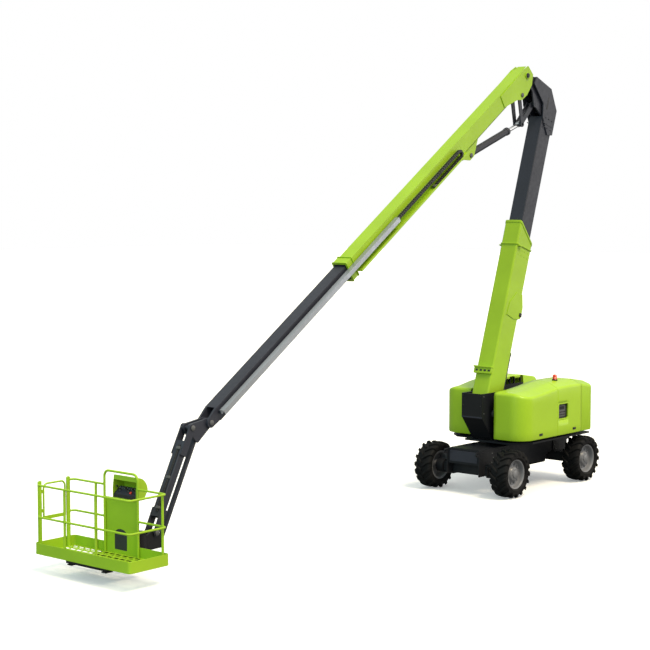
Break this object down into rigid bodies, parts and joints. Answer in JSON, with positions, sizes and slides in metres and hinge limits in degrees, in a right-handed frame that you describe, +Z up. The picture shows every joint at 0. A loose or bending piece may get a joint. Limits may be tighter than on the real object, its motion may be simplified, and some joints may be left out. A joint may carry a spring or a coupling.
{
  "type": "articulating boom lift",
  "caption": "Four-wheeled articulated boom lift with slewing turntable, two-stage lower boom, telescoping main boom, jib and railed work platform.",
  "frame": {"origin": "middle of the bounding box on the ground", "axes": "+X towards the work platform, +Y to the machine's left, +Z up"},
  "size_m": [14.84, 2.49, 9.5635],
  "materials": {
    "lime_paint": "semi-gloss lime paint on steel",
    "lime_cover": "glossy lime moulded fibre-reinforced cover",
    "lime_casting": "lime paint on cast iron",
    "charcoal_paint": "satin charcoal paint",
    "frame_paint": "satin dark grey paint, lightly dusted",
    "black_paint": "satin black paint",
    "machinery_grey": "oily grey machinery",
    "chrome_rod": "polished hard chrome",
    "black_plastic": "matte black plastic",
    "bare_tube": "bright bare tube",
    "beacon_lens": "translucent red-orange lens",
    "tyre_rubber": "black deep-lug rubber",
    "rim_paint": "light grey paint, dished steel"
  },
  "bodies": {
    "chassis": {"chassis_frame": "frame_paint", "front_axle": "frame_paint", "rear_axle": "frame_paint", "steer_barrel": "frame_paint"},
    "steer_rod": {"steer_rod": "chrome_rod"},
    "knuckle_left": {"knuckle_left": "frame_paint"},
    "knuckle_right": {"knuckle_right": "frame_paint"},
    "wheel_front_left": {"tyre_front_left": "tyre_rubber", "rim_front_left": "rim_paint"},
    "wheel_front_right": {"tyre_front_right": "tyre_rubber", "rim_front_right": "rim_paint"},
    "wheel_rear_left": {"tyre_rear_left": "tyre_rubber", "rim_rear_left": "rim_paint"},
    "wheel_rear_right": {"tyre_rear_right": "tyre_rubber", "rim_rear_right": "rim_paint"},
    "turntable": {"slew_ring": "machinery_grey", "turntable_frame": "frame_paint", "tower_cover": "black_paint", "counterweight": "lime_casting", "engine": "machinery_grey", "hydraulic_tank": "machinery_grey", "ground_control": "black_plastic"},
    "hood_left": {"hood_left": "lime_cover", "beacon": "beacon_lens"},
    "hood_right": {"hood_right": "lime_cover"},
    "lower_boom": {"lower_boom_outer": "lime_paint", "lower_wear_pads": "black_plastic"},
    "lower_lift_barrel": {"lower_lift_barrel": "charcoal_paint"},
    "lower_lift_rod": {"lower_lift_rod": "chrome_rod"},
    "lower_inner": {"lower_boom_inner": "charcoal_paint", "elbow": "charcoal_paint"},
    "main_boom": {"main_boom_base": "lime_paint", "main_wear_pads": "black_plastic", "services_chain": "black_plastic", "services_tray": "lime_paint"},
    "main_fly": {"main_boom_fly": "charcoal_paint", "push_tube": "bare_tube"},
    "main_lift_barrel": {"main_lift_barrel": "charcoal_paint"},
    "main_lift_rod": {"main_lift_rod": "chrome_rod"},
    "idler_links": {"idler_links": "charcoal_paint"},
    "elbow_links": {"elbow_links": "charcoal_paint"},
    "level_pin": {"level_pin": "chrome_rod"},
    "tip_bracket": {"tip_bracket": "charcoal_paint"},
    "jib": {"jib_tube": "charcoal_paint"},
    "jib_link": {"jib_link": "charcoal_paint"},
    "platform_bracket": {"platform_bracket": "black_paint"},
    "platform": {"platform_support": "black_paint", "platform_floor": "lime_paint", "platform_rails": "lime_paint", "console_panel": "lime_paint", "console_shell": "lime_paint", "control_console": "black_plastic"},
    "gate": {"gate": "lime_paint"}
  },
  "joints": [
    {"name": "steer_left", "type": "hinge", "parent": "chassis", "child": "knuckle_left", "pos_m": [-3.97, 0.62, 0.53], "axis": [0, 0, 1], "range_deg": [-30, 30]},
    {"name": "steer_right", "type": "hinge", "parent": "chassis", "child": "knuckle_right", "pos_m": [-3.97, -0.62, 0.53], "axis": [0, 0, 1], "range_deg": [-30, 30]},
    {"name": "steer_rod_slide", "type": "slide", "parent": "chassis", "child": "steer_rod", "axis": [0, 1, 0], "range_m": [-0.112, 0.112]},
    {"name": "wheel_front_left_spin", "type": "hinge", "parent": "knuckle_left", "child": "wheel_front_left", "pos_m": [-3.97, 1.025, 0.53], "axis": [0, 1, 0], "continuous": true},
    {"name": "wheel_front_right_spin", "type": "hinge", "parent": "knuckle_right", "child": "wheel_front_right", "pos_m": [-3.97, -1.025, 0.53], "axis": [0, 1, 0], "continuous": true},
    {"name": "wheel_rear_left_spin", "type": "hinge", "parent": "chassis", "child": "wheel_rear_left", "pos_m": [-6.89, 1.025, 0.53], "axis": [0, 1, 0], "continuous": true},
    {"name": "wheel_rear_right_spin", "type": "hinge", "parent": "chassis", "child": "wheel_rear_right", "pos_m": [-6.89, -1.025, 0.53], "axis": [0, 1, 0], "continuous": true},
    {"name": "slew", "type": "hinge", "parent": "chassis", "child": "turntable", "pos_m": [-5.43, 0, 1.04], "axis": [0, 0, 1], "continuous": true},
    {"name": "hood_left_open", "type": "hinge", "parent": "turntable", "child": "hood_left", "pos_m": [-5.43, 0.407, 2.36], "axis": [1, 0, 0], "range_deg": [0, 50]},
    {"name": "hood_right_open", "type": "hinge", "parent": "turntable", "child": "hood_right", "pos_m": [-5.43, -0.407, 2.36], "axis": [-1, 0, 0], "range_deg": [0, 50]},
    {"name": "lower_lift", "type": "hinge", "parent": "turntable", "child": "lower_boom", "pos_m": [-4.43, 0, 1.75], "axis": [0, 1, 0], "range_deg": [-71.5, 3]},
    {"name": "lower_barrel_turn", "type": "hinge", "parent": "turntable", "child": "lower_lift_barrel", "pos_m": [-4.81, 0, 1.28], "axis": [0, 1, 0], "range_deg": [-70, 3.5]},
    {"name": "lower_rod_slide", "type": "slide", "parent": "lower_lift_barrel", "child": "lower_lift_rod", "axis": [-0.3069, 0, 0.9517], "range_m": [-0.73, 0.04]},
    {"name": "lower_extend", "type": "slide", "parent": "lower_boom", "child": "lower_inner", "axis": [-0.3173, 0, 0.9483], "range_m": [-2, 0.9]},
    {"name": "main_luff", "type": "hinge", "parent": "lower_inner", "child": "main_boom", "pos_m": [-5.77943, 0, 9.34426], "axis": [0, -1, 0], "range_deg": [-33, 90]},
    {"name": "main_barrel_turn", "type": "hinge", "parent": "main_boom", "child": "main_lift_barrel", "pos_m": [-3.71207, 0, 7.49145], "axis": [0, -1, 0], "range_deg": [-6.4, 2.4]},
    {"name": "main_rod_slide", "type": "slide", "parent": "main_lift_barrel", "child": "main_lift_rod", "axis": [-0.9363, 0, 0.3513], "range_m": [-0.33, 0.89]},
    {"name": "idler_turn", "type": "hinge", "parent": "main_boom", "child": "idler_links", "pos_m": [-5.58883, 0, 8.89364], "axis": [0, -1, 0], "range_deg": [-101, 37.2]},
    {"name": "elbow_link_turn", "type": "hinge", "parent": "lower_inner", "child": "elbow_links", "pos_m": [-6.19298, 0, 8.72082], "axis": [0, -1, 0], "range_deg": [-22, 60]},
    {"name": "main_extend", "type": "slide", "parent": "main_boom", "child": "main_fly", "axis": [0.829, 0, -0.5592], "range_m": [-4.2, 1.9]},
    {"name": "level_main", "type": "hinge", "parent": "main_fly", "child": "level_pin", "pos_m": [4.40655, 0, 2.44961], "axis": [0, -1, 0], "range_deg": [-90, 33]},
    {"name": "level_lower", "type": "hinge", "parent": "level_pin", "child": "tip_bracket", "pos_m": [4.40655, 0, 2.44961], "axis": [0, 1, 0], "range_deg": [-3, 71.5]},
    {"name": "jib_lift", "type": "hinge", "parent": "tip_bracket", "child": "jib", "pos_m": [4.87, 0, 2.4], "axis": [0, -1, 0], "range_deg": [-30, 85]},
    {"name": "jib_link_turn", "type": "hinge", "parent": "tip_bracket", "child": "jib_link", "pos_m": [4.71, 0, 2.155], "axis": [0, -1, 0], "range_deg": [-30, 85]},
    {"name": "platform_level", "type": "hinge", "parent": "jib", "child": "platform_bracket", "pos_m": [5.77163, 0, 0.63046], "axis": [0, -1, 0], "range_deg": [-85, 30]},
    {"name": "platform_rotate", "type": "hinge", "parent": "platform_bracket", "child": "platform", "pos_m": [6.07, 0, 0.49], "axis": [0, 0, 1], "range_deg": [-90, 90]},
    {"name": "gate_swing", "type": "hinge", "parent": "platform", "child": "gate", "pos_m": [7.27, -1.1847, 1.3], "axis": [0, 0, -1], "range_deg": [0, 90]}
  ],
  "couplings": [
    {"joint": "steer_right", "follows": "steer_left", "ratio": 1},
    {"joint": "steer_rod_slide", "follows": "steer_left", "m_per_rad": -0.21},
    {"joint": "lower_barrel_turn", "follows": "lower_lift", "ratio": 0.971},
    {"joint": "lower_rod_slide", "follows": "lower_lift", "m_per_rad": 0.573},
    {"joint": "main_barrel_turn", "follows": "main_luff", "ratio": -0.07},
    {"joint": "main_rod_slide", "follows": "main_luff", "m_per_rad": 0.56},
    {"joint": "idler_turn", "follows": "main_luff", "ratio": -1.12},
    {"joint": "elbow_link_turn", "follows": "main_luff", "ratio": 0.66},
    {"joint": "level_main", "follows": "main_luff", "ratio": -1},
    {"joint": "level_lower", "follows": "lower_lift", "ratio": -1},
    {"joint": "jib_link_turn", "follows": "jib_lift", "ratio": 1},
    {"joint": "platform_level", "follows": "jib_lift", "ratio": -1}
  ]
}
